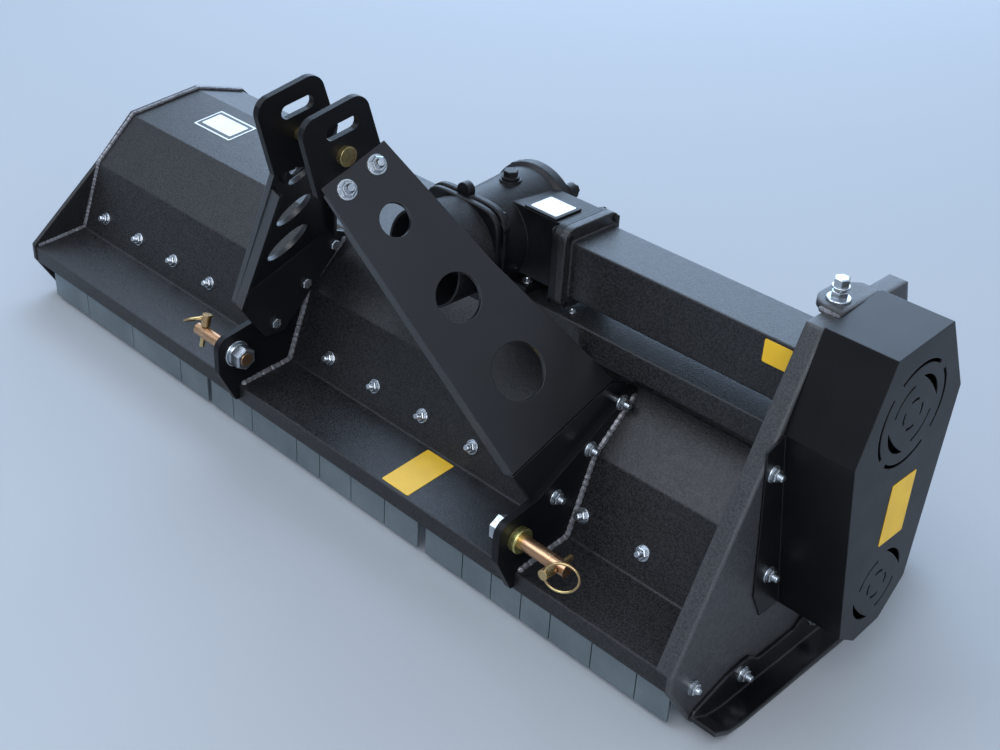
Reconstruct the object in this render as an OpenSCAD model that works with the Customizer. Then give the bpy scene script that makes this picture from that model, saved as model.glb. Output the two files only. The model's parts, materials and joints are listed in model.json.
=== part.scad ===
// Flail mower with offset three-point headstock, gearbox, belt drive and swinging flaps.
// Millimetres, +X towards the belt drive, +Y rearward, +Z up, standing on Z = 0.

/* [Hood] */
// Inner face of the left side plate from the headstock centre
left_inner = 964; // [700:1:1200]
// Inner face of the right side plate from the headstock centre
right_inner = 614; // [450:1:800]
// Thickness of the folded hood sheet
hood_sheet = 4; // [3:0.5:8]
// Height of the front lip's lower edge
lip_z = 75; // [50:1:120]
// Height of the shelf's front edge
shelf_z = 104; // [80:1:160]
// Depth position of the front panel's foot
panel_y = 107; // [80:1:160]
// Height of the front panel's foot
panel_z = 114; // [85:1:180]
// Depth position of the front panel's top fold
slope_y = 152; // [110:1:200]
// Height of the front panel's top fold
slope_z = 238; // [180:1:320]
// Depth position of the slope's top fold
crown_y = 237; // [200:1:300]
// Height of the slope's top fold
crown_z = 316; // [260:1:400]
// Depth position of the crown's rear fold
back_y = 389; // [320:1:450]
// Height of the crown's rear fold
back_z = 334; // [280:1:420]
// Depth position of the tail fold
tail_y = 496; // [460:1:560]
// Height of the tail fold
tail_z = 305; // [250:1:380]
// Depth position of the tail's lower edge
tail_end_y = 520; // [500:1:600]
// Height of the tail's lower edge
tail_end_z = 250; // [180:1:300]

/* [Panel bolts] */
// Number of bolts along the front panel
panel_bolt_count = 13; // [5:1:20]
// Spacing of the panel bolts
panel_bolt_pitch = 112.7; // [60:0.1:200]
// First panel bolt from the left plate
panel_bolt_start = 63; // [40:1:120]
// Height of the bolt row as a share of the panel
panel_bolt_share = 0.3; // [0.2:0.01:0.7]
// Thickness of the counter knife bar
bar_t = 8; // [5:1:14]

/* [Side plates] */
// Thickness of the side plates
side_t = 8; // [5:0.5:14]
// Lowest edge of the side plates
side_z = 12; // [8:1:40]
// Height of the tall right plate
right_top_z = 560; // [480:1:640]
// Width of the right plate's folded flange
flange_w = 27; // [15:1:50]
// Thickness of the folded flange
flange_t = 5; // [3:0.5:8]

/* [Headstock] */
// Lug plate centre from the headstock centre
lug_x = 320; // [280:1:360]
// Lug plate thickness
lug_t = 12; // [8:0.5:20]
// Lower link pin radius
link_r = 11; // [9:0.5:14]
// Lower link pin depth position
link_y = -2; // [-30:1:20]
// Lower link pin height
link_z = 168; // [140:1:220]
// Length of the lower link pin past its collar
link_free = 82; // [60:1:120]
// Full-radius seat length of the lower link pin
link_seat = 56; // [40:1:60]
// Collar thickness of the lower link pin
link_collar = 12; // [6:1:20]
// Linchpin radius
linch_r = 4.5; // [3:0.1:6]
// Linchpin distance from the collar
linch_from_collar = 66; // [50:1:100]
// Turn of the left linchpin round its link pin, from pointing forward
left_linch_turn = 105; // [0:5:120]
// Turn of the right linchpin round its link pin, from pointing forward
right_linch_turn = 0; // [0:5:120]
// Running clearance of pins and shafts
run_gap = 0.05; // [0.02:0.01:0.1]
// Gap behind the bar so that it seats without overlap
seat_gap = 0.05; // [0.02:0.01:0.2]
// Clearance of bolts in their holes
bolt_gap = 0.2; // [0.1:0.05:0.6]
// Inner face of a clevis plate from the headstock centre
clevis_x = 40; // [28:1:60]
// Clevis plate thickness
clevis_t = 10; // [6:0.5:14]
// Top link pin radius
top_r = 9.5; // [8:0.5:13]
// Top link pin depth position
top_y = -74; // [-110:1:-40]
// Top link pin height
top_z = 660; // [560:1:760]
// Brace plate thickness
brace_t = 8; // [5:0.5:12]
// Depth of the brace's folded edges
brace_fold = 24; // [10:1:40]

/* [Drive] */
// Gearbox centre from the headstock centre
gear_x = 70; // [0:1:120]
// Drive shaft depth position
drive_y = 226; // [200:1:260]
// Drive shaft height
drive_z = 479; // [440:1:520]
// Shaft radius
shaft_r = 17.5; // [12:0.5:25]
// Square tube size
tube_w = 84; // [60:1:110]
// Square tube wall
tube_wall = 6; // [4:0.5:10]
// Cross beam front face
beam_y = 172; // [168:1:180]
// Cross beam depth
beam_w = 98; // [80:1:110]
// Cross beam top
beam_z = 410; // [390:1:420]
// Cross beam height
beam_h = 38; // [25:1:60]
// Upper pulley radius
upper_r = 52; // [40:1:60]
// Lower pulley radius
lower_r = 46; // [36:1:58]
// Belt section width
belt_w = 13; // [8:0.5:20]
// Gap between a belt and its groove
belt_gap = 0.5; // [0.4:0.1:1]

/* [Rotor] */
// Rotor axis depth position
rotor_y = 285; // [260:1:320]
// Rotor axis height
rotor_z = 180; // [160:1:200]
// Rotor tube radius
rotor_r = 38; // [30:1:50]
// Radius of the hammer pivots
pivot_radius = 60; // [50:1:70]
// Hammer pivot pin radius
pivot_r = 8; // [5:0.5:10]
// Radius of the hammer tips
swing_r = 118; // [100:1:125]
// Hammers in one row
hammer_count = 9; // [3:1:14]
// Hammer thickness
hammer_t = 14; // [8:1:20]

/* [Ground parts] */
// Flap rod radius
rod_r = 6; // [4:0.5:9]
// Flap rod depth position
rod_y = 25; // [18:1:40]
// Flap rod height
rod_z = 86; // [80:1:92]
// Flap thickness
flap_t = 4; // [2:0.5:6]
// Height of the flaps' lower edge
flap_z = 10; // [5:1:30]
// Gap between neighbouring flaps
flap_gap = 2; // [1:0.5:5]
// Rear roller radius
roller_r = 50; // [35:1:70]
// Rear roller depth position
roller_y = 548; // [520:1:580]
// Belt cover depth out from the right side plate
cover_depth = 102; // [84:1:140]
// Belt cover sheet
cover_t = 3; // [2:0.5:5]

/* [Hidden] */
$fn = 48;

left_outer = left_inner + side_t;
right_outer = right_inner + side_t;
cover_x = right_outer + cover_depth;
bolt_r = 6;
bolt_head = 7;
// Shift that puts the whole part over the origin
centre_x = (cover_x - left_outer - side_t - bolt_head) / 2;
clevis_line = [[-118, 612], [-146, 716], [-40, 738], [-12, 655], [-40, 612]];
clevis_radii = [0, 22, 24, 0, 0];
clevis_reach = min([for (p = rounded(clevis_line, clevis_radii)) p.x]);
centre_y = (roller_y + roller_r + clevis_reach) / 2;

hood_line = [[0, lip_z], [0, shelf_z], [panel_y, panel_z], [slope_y, slope_z], [crown_y, crown_z],
    [back_y, back_z], [tail_y, tail_z], [tail_end_y, tail_end_z]];
panel_foot = [panel_y, panel_z];
panel_run = [slope_y - panel_y, slope_z - panel_z];
panel_angle = atan2(panel_run.y, panel_run.x);
front_lean = [-22, 126];
front_top = [188, right_top_z];

// Direction helpers for folded sheet
function unit(v) = v / norm(v);
function right_of(a, b) = let (d = unit(b - a)) [d.y, -d.x];
function mitre(p, a, b, t) = p + t * (a + b) / (1 + a * b);
function inner_line(p, t) = [for (i = [0 : len(p) - 1])
    i == 0 ? p[0] + t * right_of(p[0], p[1]) :
    i == len(p) - 1 ? p[i] + t * right_of(p[i - 1], p[i]) :
    mitre(p[i], right_of(p[i - 1], p[i]), right_of(p[i], p[i + 1]), t)];
function strip(p, t) = let (q = inner_line(p, t)) concat(p, [for (i = [len(p) - 1 : -1 : 0]) q[i]]);
function ring_inset(p, t) = let (n = len(p)) [for (i = [0 : n - 1])
    mitre(p[i], right_of(p[(i + n - 1) % n], p[i]), right_of(p[i], p[(i + 1) % n]), t)];
function panel_point(share, depth) =
    panel_foot + share * panel_run + depth * right_of(panel_foot, panel_foot + panel_run);

// Outline with each corner rounded to its own radius
function corner(a, p, b, r, n) = r == 0 ? [p] :
    let (u = unit(a - p), v = unit(b - p), half = acos(u * v) / 2,
        c = p + unit(u + v) * r / sin(half),
        start = p + u * r / tan(half) - c,
        end = p + v * r / tan(half) - c)
    [for (i = [0 : n]) c + r * unit((1 - i / n) * start + i / n * end)];
function rounded(p, r, n = 8) = let (m = len(p))
    [for (i = [0 : m - 1]) each corner(p[(i + m - 1) % m], p[i], p[(i + 1) % m], r[i], n)];

module place() translate([-centre_x, -centre_y, 0]) children();

module along_x(x0, x1) translate([x0, 0, 0]) rotate([90, 0, 90]) linear_extrude(x1 - x0) children();

module rod_x(y, z, r, x0, x1) translate([x0, y, z]) rotate([0, 90, 0]) cylinder(r = r, h = x1 - x0);

module rod_y(x, z, r, y0, y1) translate([x, y0, z]) rotate([-90, 0, 0]) cylinder(r = r, h = y1 - y0);

module hex_x(y, z, r, x0, x1) translate([x0, y, z]) rotate([0, 90, 0]) cylinder(r = r, h = x1 - x0, $fn = 6);

// Bolt along X with its head at the low end and its nut at the high end
module bolt_x(y, z, x0, x1) {
    hex_x(y, z, 10, x0 - bolt_head, x0);
    rod_x(y, z, bolt_r, x0, x1);
    hex_x(y, z, 10, x1, x1 + bolt_head);
}

module at_panel(x, share) {
    p = panel_point(share, 0);
    translate([x, p.x, p.y]) rotate([panel_angle, 0, 0]) children();
}

function panel_bolt_x(i) = -left_inner + panel_bolt_start + i * panel_bolt_pitch;

module panel_holes() {
    for (i = [0 : panel_bolt_count - 1])
        at_panel(panel_bolt_x(i), panel_bolt_share)
            translate([0, 0, -60]) cylinder(r = bolt_r + bolt_gap, h = 80);
}

module hood() color([0.27, 0.28, 0.29]) place() difference() {
    along_x(-left_inner, right_inner) polygon(strip(hood_line, hood_sheet));
    panel_holes();
}

left_outline = [[-2, 79], [-2, 110], [154, 241], [238, 321], [390, 339], [498, 310], [524, 282],
    [524, 120], [500, side_z], [38, side_z]];
top_back = 376;
right_outline = [[front_lean.x, 98], front_lean, front_top, [top_back, right_top_z], [430, 400], [524, 290],
    [524, 120], [500, side_z], [38, side_z]];
skid_bolts_y = [140, 310];
skid_bolt_z = 38;
arm_bolts = [[484, 136], [500, 108]];

module plate_holes(x0, x1) {
    rod_x(rod_y, rod_z, rod_r + bolt_gap, x0, x1);
    skid_holes(x0, x1);
    for (p = arm_bolts) rod_x(p.x, p.y, bolt_r + bolt_gap, x0, x1);
}

module left_side_plate() color([0.25, 0.26, 0.27]) place() difference() {
    along_x(-left_outer, -left_inner) polygon(left_outline);
    plate_holes(-left_outer - 1, -left_inner + 1);
}

tension_x = right_inner - 16;
tension_y = 250;
bracket_t = 10;
bracket_w = 50;
bracket_front = tension_y - 26;
bracket_back = tension_y + 60;
bracket_line = [[right_outer, bracket_front], [right_outer, bracket_back], [right_outer - 28, bracket_back],
    [right_outer - bracket_w, bracket_back - 22], [right_outer - bracket_w, bracket_front]];
bracket_radii = [0, 0, 8, 14, 26];
cover_bolt_points = [[126, 380], [162, 200]];

module right_side_plate() color([0.25, 0.26, 0.27]) place() difference() {
    union() {
        along_x(right_inner, right_outer) polygon(right_outline);
        along_x(right_outer - flange_w, right_inner)
            polygon(strip([front_lean, front_top, [top_back, right_top_z]], flange_t));
        translate([0, 0, right_top_z]) linear_extrude(bracket_t)
            polygon(rounded(bracket_line, bracket_radii));
    }
    plate_holes(right_inner - 1, right_outer + 1);
    rod_x(drive_y, drive_z, 30, right_inner - 1, right_outer + 1);
    rod_x(rotor_y, rotor_z, 30, right_inner - 1, right_outer + 1);
    for (p = cover_bolt_points) rod_x(p.x, p.y, bolt_r + bolt_gap, right_inner - 1, right_outer + 1);
    translate([tension_x, tension_y, right_top_z - 20]) cylinder(r = bolt_r + bolt_gap, h = 60);
}

beam_back = beam_y + beam_w;
beam_start = -10;
beam_wall = 5;
support_xs = [10, 120, 340, 560];

// The beam stands on ribs whose feet follow the hood
module cross_beam() color([0.24, 0.25, 0.26]) place() {
    difference() {
        along_x(beam_start, right_inner) difference() {
            translate([beam_y, beam_z - beam_h]) square([beam_w, beam_h]);
            translate([beam_y + beam_wall, beam_z - beam_h + beam_wall])
                square([beam_w - 2 * beam_wall, beam_h - 2 * beam_wall]);
        }
        base_holes();
    }
    for (x = support_xs) along_x(x, x + side_t)
        polygon([[crown_y - 60, beam_z - beam_h], [crown_y, crown_z],
            [beam_back, crown_z + (beam_back - crown_y) * (back_z - crown_z) / (back_y - crown_y)],
            [beam_back, beam_z - beam_h]]);
}

lug_bolts = [[73, 201], [138, 253], [199, 305]];
lug_in = lug_x - lug_t / 2;
lug_out = lug_x + lug_t / 2;
lug_end_y = 232;
lug_front = link_y - 36;
lug_outline = [[0, 80], [-8, 80], [lug_front, 140], [lug_front, 200], [36, 214], [lug_end_y, 322],
    [lug_end_y, crown_z - (crown_y - lug_end_y) * (crown_z - slope_z) / (crown_y - slope_y)],
    [slope_y, slope_z], panel_foot, [0, shelf_z]];
lug_radii = [0, 0, 24, 22, 40, 5, 0, 0, 0, 0];

module hitch_lug() difference() {
    along_x(lug_in, lug_out) polygon(rounded(lug_outline, lug_radii));
    rod_x(link_y, link_z, link_r + bolt_gap, lug_in - 1, lug_out + 1);
    for (p = lug_bolts) rod_x(p.x, p.y, bolt_r + bolt_gap, lug_in - 1, lug_out + 1);
}

module right_hitch_lug() color([0.1, 0.1, 0.11]) place() hitch_lug();
module left_hitch_lug() color([0.1, 0.1, 0.11]) place() mirror([1, 0, 0]) hitch_lug();

// Brace plane from its top front corner
brace_o = [46, -115, 630];
brace_u = [0, cos(20), sin(20)];
brace_d = [268, 109, -360];
brace_v0 = brace_d - brace_u * (brace_d * brace_u);
brace_len = norm(brace_v0);
brace_v = brace_v0 / brace_len;
brace_n = cross(brace_u, brace_v);
brace_shape = [[0, 0], [111, 0], [140, 225], [188, brace_len], [-21, brace_len]];
brace_holes = [[59, 97, 23], [68, 229, 34], [76, 360, 41]];
brace_bolts = [[83, 26], [28, 28]];
front_fold = [[0, 70], [6, 70], [-15, brace_len], [-21, brace_len]];
back_fold = [[120, 70], [140, 225], [188, brace_len], [182, brace_len], [134, 225], [114, 70]];
brace_foot = [[-6, 266], [186, 336], [222, 322], [200, 288], [90, 182], [52, 182]];

module on_brace() multmatrix([
    [brace_u.x, brace_v.x, brace_n.x, brace_o.x],
    [brace_u.y, brace_v.y, brace_n.y, brace_o.y],
    [brace_u.z, brace_v.z, brace_n.z, brace_o.z],
    [0, 0, 0, 1]]) children();

module brace_bolt_holes() on_brace() for (p = brace_bolts)
    translate([p.x, p.y, -20]) cylinder(r = bolt_r + bolt_gap, h = 60);

module brace() difference() {
    union() {
        intersection() {
            on_brace() difference() {
                union() {
                    linear_extrude(brace_t) polygon(brace_shape);
                    linear_extrude(brace_fold) polygon(front_fold);
                    linear_extrude(brace_fold) polygon(back_fold);
                }
                for (h = brace_holes) translate([h.x, h.y, -1]) cylinder(r = h[2], h = brace_t + 2);
            }
            translate([clevis_x + clevis_t, -400, 0]) cube([lug_in - clevis_x - clevis_t, 900, 900]);
        }
        along_x(lug_in - brace_t, lug_in) polygon(brace_foot);
    }
    brace_bolt_holes();
    for (p = lug_bolts) rod_x(p.x, p.y, bolt_r + bolt_gap, lug_in - 20, lug_in + 1);
}

module right_brace() color([0.06, 0.06, 0.07]) place() brace();
module left_brace() color([0.06, 0.06, 0.07]) place() mirror([1, 0, 0]) brace();

slot_h = 19;
slot_front = [-94, 694];
slot_back = [-60, 700];
slot_side = slot_h / 2 * right_of(slot_front, slot_back);
pad_t = 8;

module clevis_plate() difference() {
    union() {
        along_x(clevis_x, clevis_x + clevis_t) polygon(rounded(clevis_line, clevis_radii));
        intersection() {
            on_brace() translate([14, 0, brace_t]) cube([82, 62, pad_t]);
            translate([clevis_x + clevis_t / 2, -400, 400]) cube([200, 900, 400]);
        }
    }
    along_x(clevis_x - 1, clevis_x + clevis_t + 1)
        polygon([slot_front - slot_side, slot_back - slot_side,
            slot_back + slot_side, slot_front + slot_side]);
    for (p = [slot_front, slot_back]) rod_x(p.x, p.y, slot_h / 2, clevis_x - 1, clevis_x + clevis_t + 1);
    rod_x(top_y, top_z, top_r + bolt_gap, clevis_x - 1, clevis_x + clevis_t + 1);
    brace_bolt_holes();
}

module right_clevis_plate() color([0.06, 0.06, 0.07]) place() clevis_plate();
module left_clevis_plate() color([0.06, 0.06, 0.07]) place() mirror([1, 0, 0]) clevis_plate();

washer_t = 3;
nut_h = 16;

module headstock_bolt_set() {
    difference() {
        union() {
            hex_x(link_y, link_z, 19, lug_in - washer_t - nut_h, lug_in - washer_t);
            rod_x(link_y, link_z, 22, lug_in - washer_t, lug_in);
        }
        rod_x(link_y, link_z, link_r + run_gap, lug_in - 40, lug_in + 1);
    }
    for (p = lug_bolts) bolt_x(p.x, p.y, lug_in - brace_t, lug_out);
    on_brace() for (p = brace_bolts) translate([p.x, p.y, 0]) {
        translate([0, 0, -2]) cylinder(r = 13, h = 2);
        translate([0, 0, -2 - bolt_head]) cylinder(r = 10, h = bolt_head, $fn = 6);
        cylinder(r = bolt_r, h = brace_t + pad_t);
    }
}

module headstock_bolts() color([0.7, 0.71, 0.73]) place() {
    headstock_bolt_set();
    mirror([1, 0, 0]) headstock_bolt_set();
}

thread_out = 9;
pin_start = lug_out + link_collar;
pin_end = pin_start + link_free;
seat_end = pin_start + link_seat;
linch_x = pin_start + linch_from_collar;

module on_link(turn) translate([0, link_y, link_z]) rotate([-turn, 0, 0])
    translate([0, -link_y, -link_z]) children();

module link_pin(turn) difference() {
    union() {
        rod_x(link_y, link_z, link_r, lug_in - washer_t - nut_h - thread_out, seat_end);
        rod_x(link_y, link_z, link_r - 0.6, seat_end, pin_end);
        rod_x(link_y, link_z, 19, lug_out, pin_start);
    }
    on_link(turn) rod_y(linch_x, link_z, linch_r + run_gap, link_y - 30, link_y + 30);
}

module right_link_pin() color([0.78, 0.66, 0.36]) place() link_pin(right_linch_turn);
module left_link_pin() color([0.78, 0.66, 0.36]) place() mirror([1, 0, 0]) link_pin(left_linch_turn);

ring_r = 24;
ring_wire = 2;
ring_open = 60;
ring_hinge = link_y - 28;

// Linchpin whose ring hangs round the pin's free end, swung clear so that it can be drawn out
module linchpin(turn) on_link(turn) {
    rod_y(linch_x, link_z, linch_r, link_y - 24, link_y + 26);
    rod_y(linch_x, link_z, 8, link_y - 32, link_y - link_r - 1);
    translate([linch_x, ring_hinge, link_z]) rotate([0, 0, 90 - ring_open]) translate([ring_r, 0, 0])
        rotate([90, 0, 0]) rotate_extrude() translate([ring_r, 0]) circle(r = ring_wire);
}

module right_linchpin() color([0.78, 0.66, 0.36]) place() linchpin(right_linch_turn);
module left_linchpin() color([0.78, 0.66, 0.36]) place() mirror([1, 0, 0]) linchpin(left_linch_turn);

module top_link_pin() color([0.78, 0.66, 0.36]) place() {
    rod_x(top_y, top_z, top_r, -clevis_x - clevis_t, clevis_x + clevis_t);
    hex_x(top_y, top_z, 16, -clevis_x - clevis_t - 12, -clevis_x - clevis_t);
    rod_x(top_y, top_z, 13.5, clevis_x + clevis_t, clevis_x + clevis_t + 8);
}

// Bevel gearbox casting round the input axis
body_r = 66;
body_wall = 6;
body_front = 140;
flange_front = 128;
flange_r = 74;
lug_r = 12;
front_lugs = 6;
rim_r = 82;
rim_front = 266;
rim_back = 280;
cap_r = 68;
cap_back = 298;
rear_lugs = 4;
cavity_front = 150;
cavity_back = 262;
neck_w = 80;
neck_low = 44;
neck_top = 60;
neck_end = 210;
port_w = 114;
port_h = 124;
port_round = 20;
port_t = 12;
port_bolt = [48, 51];
port_bolt_r = 4;
base_t = 12;
base_w = 156;
base_bolt = [66, 28];
port_hex_r = 7.5;
port_head = 5;
gear_reach = 50;
gear_start = 34;
gear_share = 0.5;
gear_gap = 0.4;
casting_line = [[0, 108], [45, 108], [45, flange_front], [flange_r, flange_front], [flange_r, body_front],
    [body_r, body_front + 8], [rim_r - 6, rim_front - 6], [rim_r, rim_front], [rim_r, rim_back],
    [cap_r, rim_back], [cap_r - 4, cap_back - 8], [30, cap_back], [0, cap_back]];

// Rounded rectangle centred on the drive shaft, in depth and height
module port(w, h, r) translate([drive_y, drive_z]) {
    square([w, h - 2 * r], center = true);
    square([w - 2 * r, h], center = true);
    for (sy = [-1, 1]) for (sz = [-1, 1]) translate([sy * (w / 2 - r), sz * (h / 2 - r)]) circle(r = r);
}

base_y = beam_y + beam_w / 2;
function port_points() = [for (sy = [-1, 1]) for (sz = [-1, 1])
    [drive_y + sy * port_bolt.x, drive_z + sz * port_bolt.y]];
function base_points() = [for (sx = [-1, 1]) for (sy = [-1, 1])
    [gear_x + sx * base_bolt.x, base_y + sy * base_bolt.y]];

module port_holes() for (p = port_points())
    rod_x(p.x, p.y, port_bolt_r + bolt_gap, neck_end - port_t - 1, neck_end + tube_flange + 1);

module base_holes() for (p = base_points())
    translate([p.x, p.y, beam_z - beam_wall - 1]) cylinder(r = bolt_r + bolt_gap, h = base_t + beam_wall + 2);

module gearbox_lugs(count, r, start, y0, y1) for (i = [0 : count - 1]) let (a = start + 360 * i / count)
    rod_y(gear_x + r * cos(a), drive_z + r * sin(a), lug_r, y0, y1);

module gearbox_bores() {
    rod_y(gear_x, drive_z, body_r - body_wall, cavity_front, cavity_back);
    rod_y(gear_x, drive_z, shaft_r + run_gap, 100, cavity_front + 10);
    rod_x(drive_y, drive_z, shaft_r + run_gap, gear_x, neck_end + 1);
    translate([gear_x - 2 * rim_r, 0, 0]) cube([4 * rim_r, 2 * cap_back, beam_z]);
    port_holes();
    base_holes();
}

module gearbox_housing() color([0.05, 0.05, 0.055]) place() difference() {
    union() {
        translate([gear_x, 0, drive_z]) rotate([-90, 0, 0]) rotate_extrude() polygon(casting_line);
        gearbox_lugs(front_lugs, flange_r + 4, 35, flange_front, body_front);
        gearbox_lugs(rear_lugs, cap_r + 5, 45, rim_back, cap_back - 4);
        along_x(gear_x, neck_end - port_t)
            translate([drive_y - neck_w / 2, drive_z - neck_low]) square([neck_w, neck_low + neck_top]);
        along_x(neck_end - port_t, neck_end) port(port_w, port_h, port_round);
        translate([gear_x - base_w / 2, beam_y + 6, beam_z]) cube([base_w, beam_w - 12, base_t]);
        translate([gear_x - body_r * 0.7, beam_y + 6, beam_z]) cube([body_r * 1.4, beam_w - 12, 40]);
        translate([gear_x, plug_y, drive_z + body_r]) cylinder(r = 16, h = plug_z - body_r);
    }
    gearbox_bores();
}

plug_y = 216;
plug_z = 74;

module oil_plug() color([0.05, 0.05, 0.055]) place() translate([gear_x, plug_y, drive_z + plug_z]) {
    cylinder(r = 13, h = 4);
    translate([0, 0, 4]) cylinder(r = 11, h = 9, $fn = 6);
}

module pto_guard() color([0.04, 0.04, 0.045]) place() difference() {
    rod_y(gear_x, drive_z, 72, 50, flange_front);
    rod_y(gear_x, drive_z, 68.5, 49, flange_front + 1);
}

tube_flange = 12;
tube_top = drive_z + tube_w / 2;

module shaft_tube() color([0.27, 0.28, 0.29]) place() {
    along_x(neck_end + tube_flange, right_inner) difference() {
        translate([drive_y - tube_w / 2, drive_z - tube_w / 2]) square(tube_w);
        translate([drive_y - tube_w / 2 + tube_wall, drive_z - tube_w / 2 + tube_wall])
            square(tube_w - 2 * tube_wall);
    }
    difference() {
        along_x(neck_end, neck_end + tube_flange) port(port_w, port_h, port_round);
        rod_x(drive_y, drive_z, 26, neck_end - 1, neck_end + tube_flange + 1);
        port_holes();
    }
}

module tensioner_bolt() color([0.7, 0.71, 0.73]) place() translate([tension_x, tension_y, 0]) {
    translate([0, 0, tube_top]) cylinder(r = bolt_r, h = right_top_z + bracket_t - tube_top);
    translate([0, 0, right_top_z + bracket_t]) cylinder(r = 14, h = 3);
    translate([0, 0, right_top_z + bracket_t + 3]) cylinder(r = 11, h = 12, $fn = 6);
}

// Shafts and bevel cones meet at the gearbox centre without touching
module input_shaft() color([0.55, 0.56, 0.58]) place() {
    rod_y(gear_x, drive_z, shaft_r, 16, drive_y - gear_reach * gear_share);
    translate([gear_x, drive_y - gear_reach * gear_share, drive_z]) rotate([-90, 0, 0])
        cylinder(r1 = gear_reach - gear_gap, r2 = gear_start - gear_gap,
            h = (gear_reach - gear_start) * gear_share);
}

pulley_start = right_outer + 24;
pulley_w = 52;
groove_w = belt_w + 2 * belt_gap;
belt_xs = [pulley_start + 14, pulley_start + 38];

module drive_shaft() color([0.55, 0.56, 0.58]) place() {
    translate([gear_x + gear_start, drive_y, drive_z]) rotate([0, 90, 0])
        cylinder(r1 = gear_start * gear_share - gear_gap, r2 = gear_reach * gear_share - gear_gap,
            h = gear_reach - gear_start);
    rod_x(drive_y, drive_z, shaft_r, gear_x + gear_reach, pulley_start + pulley_w + 6);
}

module pulley(y, z, r) difference() {
    rod_x(y, z, r, pulley_start, pulley_start + pulley_w);
    rod_x(y, z, shaft_r, pulley_start - 1, pulley_start + pulley_w + 1);
    for (x = belt_xs) difference() {
        rod_x(y, z, r + 1, x - groove_w / 2, x + groove_w / 2);
        rod_x(y, z, r - 12, x - groove_w / 2 - 1, x + groove_w / 2 + 1);
    }
}

module upper_pulley() color([0.3, 0.3, 0.31]) place() pulley(drive_y, drive_z, upper_r);
module lower_pulley() color([0.3, 0.3, 0.31]) place() pulley(rotor_y, rotor_z, lower_r);

module belt_loop(depth) hull() {
    translate([drive_y, drive_z]) circle(r = upper_r - depth);
    translate([rotor_y, rotor_z]) circle(r = lower_r - depth);
}

module drive_belts() color([0.03, 0.03, 0.03]) place() for (x = belt_xs)
    along_x(x - belt_w / 2, x + belt_w / 2) difference() {
        belt_loop(0);
        belt_loop(9);
    }

cover_line = [[186, 564], [309, 572], [374, 456], [351, 155], [304, 106], [244, 100], [202, 129], [137, 432]];
cover_ear = [cover_line[7] + [cover_t, 0], cover_line[6] + [cover_t, 0], [160, 129], [136, 175], [104, 420]];
vent_upper = [255, 462];
vent_lower = [272, 184];
crescent_shift = 122;

module arc_slot(r, w, middle, span) intersection() {
    difference() {
        circle(r = r + w / 2);
        circle(r = r - w / 2);
    }
    polygon([[0, 0], for (i = [-1 : 1]) 2 * r * [cos(middle + i * span / 2), sin(middle + i * span / 2)]]);
}

// Crescent between the vent circle and a wider circle centred beyond the far side
module crescent(r, w, middle) rotate(middle) difference() {
    circle(r = r);
    translate([-crescent_shift, 0]) circle(r = r + crescent_shift - w);
}

module vent(outer) {
    if (outer) for (a = [0 : 90 : 270]) arc_slot(72, 5, a, 74);
    for (a = [45, 225]) crescent(54, 9, a);
    for (a = [135, 315]) arc_slot(46, 4, a, 62);
    for (a = [0 : 90 : 270]) arc_slot(21, 4, a, 50);
}

module belt_cover() color([0.22, 0.23, 0.24]) place() difference() {
    union() {
        along_x(right_outer, cover_x) polygon(cover_line);
        along_x(right_outer, right_outer + cover_t) polygon(cover_ear);
    }
    along_x(right_outer - 1, cover_x - cover_t) polygon(ring_inset(cover_line, cover_t));
    along_x(cover_x - 2 * cover_t, cover_x + 1) translate(vent_upper) vent(true);
    along_x(cover_x - 2 * cover_t, cover_x + 1) translate(vent_lower) vent(false);
    for (p = cover_bolt_points) rod_x(p.x, p.y, bolt_r + bolt_gap, right_outer - 1, right_outer + 9);
}

module cover_bolts() color([0.7, 0.71, 0.73]) place() for (p = cover_bolt_points)
    bolt_x(p.x, p.y, right_inner, right_outer + cover_t);

skid_t = 6;
skid_wing = 44;
skid_back = 350;
skid_flat = 96;
skid_web = 44;
skid_hump = 62;
skid_nose = [[62, 6], [30, 24]];
skid_line = [[skid_back, 0], [skid_flat, 0], each skid_nose];
skid_web_line = [[skid_back, 0], [skid_flat, 0], each skid_nose, [34, 36], [104, 58], [136, skid_hump],
    [152, skid_hump], [176, skid_web], [262, skid_web], [286, skid_hump], [skid_back, skid_hump]];
skid_web_radii = [0, 20, 20, 3, 8, 30, 12, 12, 14, 14, 12, 6];

module skid_holes(x0, x1) for (y = skid_bolts_y) rod_x(y, skid_bolt_z, bolt_r + bolt_gap, x0, x1);

module right_skid() color([0.05, 0.05, 0.055]) place() difference() {
    union() {
        along_x(right_outer, right_outer + skid_wing) polygon(strip(skid_line, skid_t));
        along_x(right_outer, right_outer + skid_t) polygon(rounded(skid_web_line, skid_web_radii));
    }
    skid_holes(right_outer - 1, right_outer + skid_t + 1);
}

left_skid_front = 120;
left_skid_len = skid_back - left_skid_front;

module left_skid() color([0.05, 0.05, 0.055]) place() difference() {
    union() {
        along_x(-left_inner, -left_inner + skid_wing)
            translate([left_skid_front, 0]) square([left_skid_len, skid_t]);
        along_x(-left_inner, -left_inner + skid_t)
            translate([left_skid_front, 0]) square([left_skid_len, skid_hump]);
    }
    skid_holes(-left_inner - 1, -left_inner + skid_t + 1);
}

axle_r = 12;
arm_line = [[466, 156], [510, 150], [576, 76], [580, 32], [524, 28]];

module roller_arm(x0) difference() {
    along_x(x0, x0 + side_t) polygon(arm_line);
    rod_x(roller_y, roller_r, axle_r + run_gap, x0 - 1, x0 + side_t + 1);
    for (p = arm_bolts) rod_x(p.x, p.y, bolt_r + bolt_gap, x0 - 1, x0 + side_t + 1);
}

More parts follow.
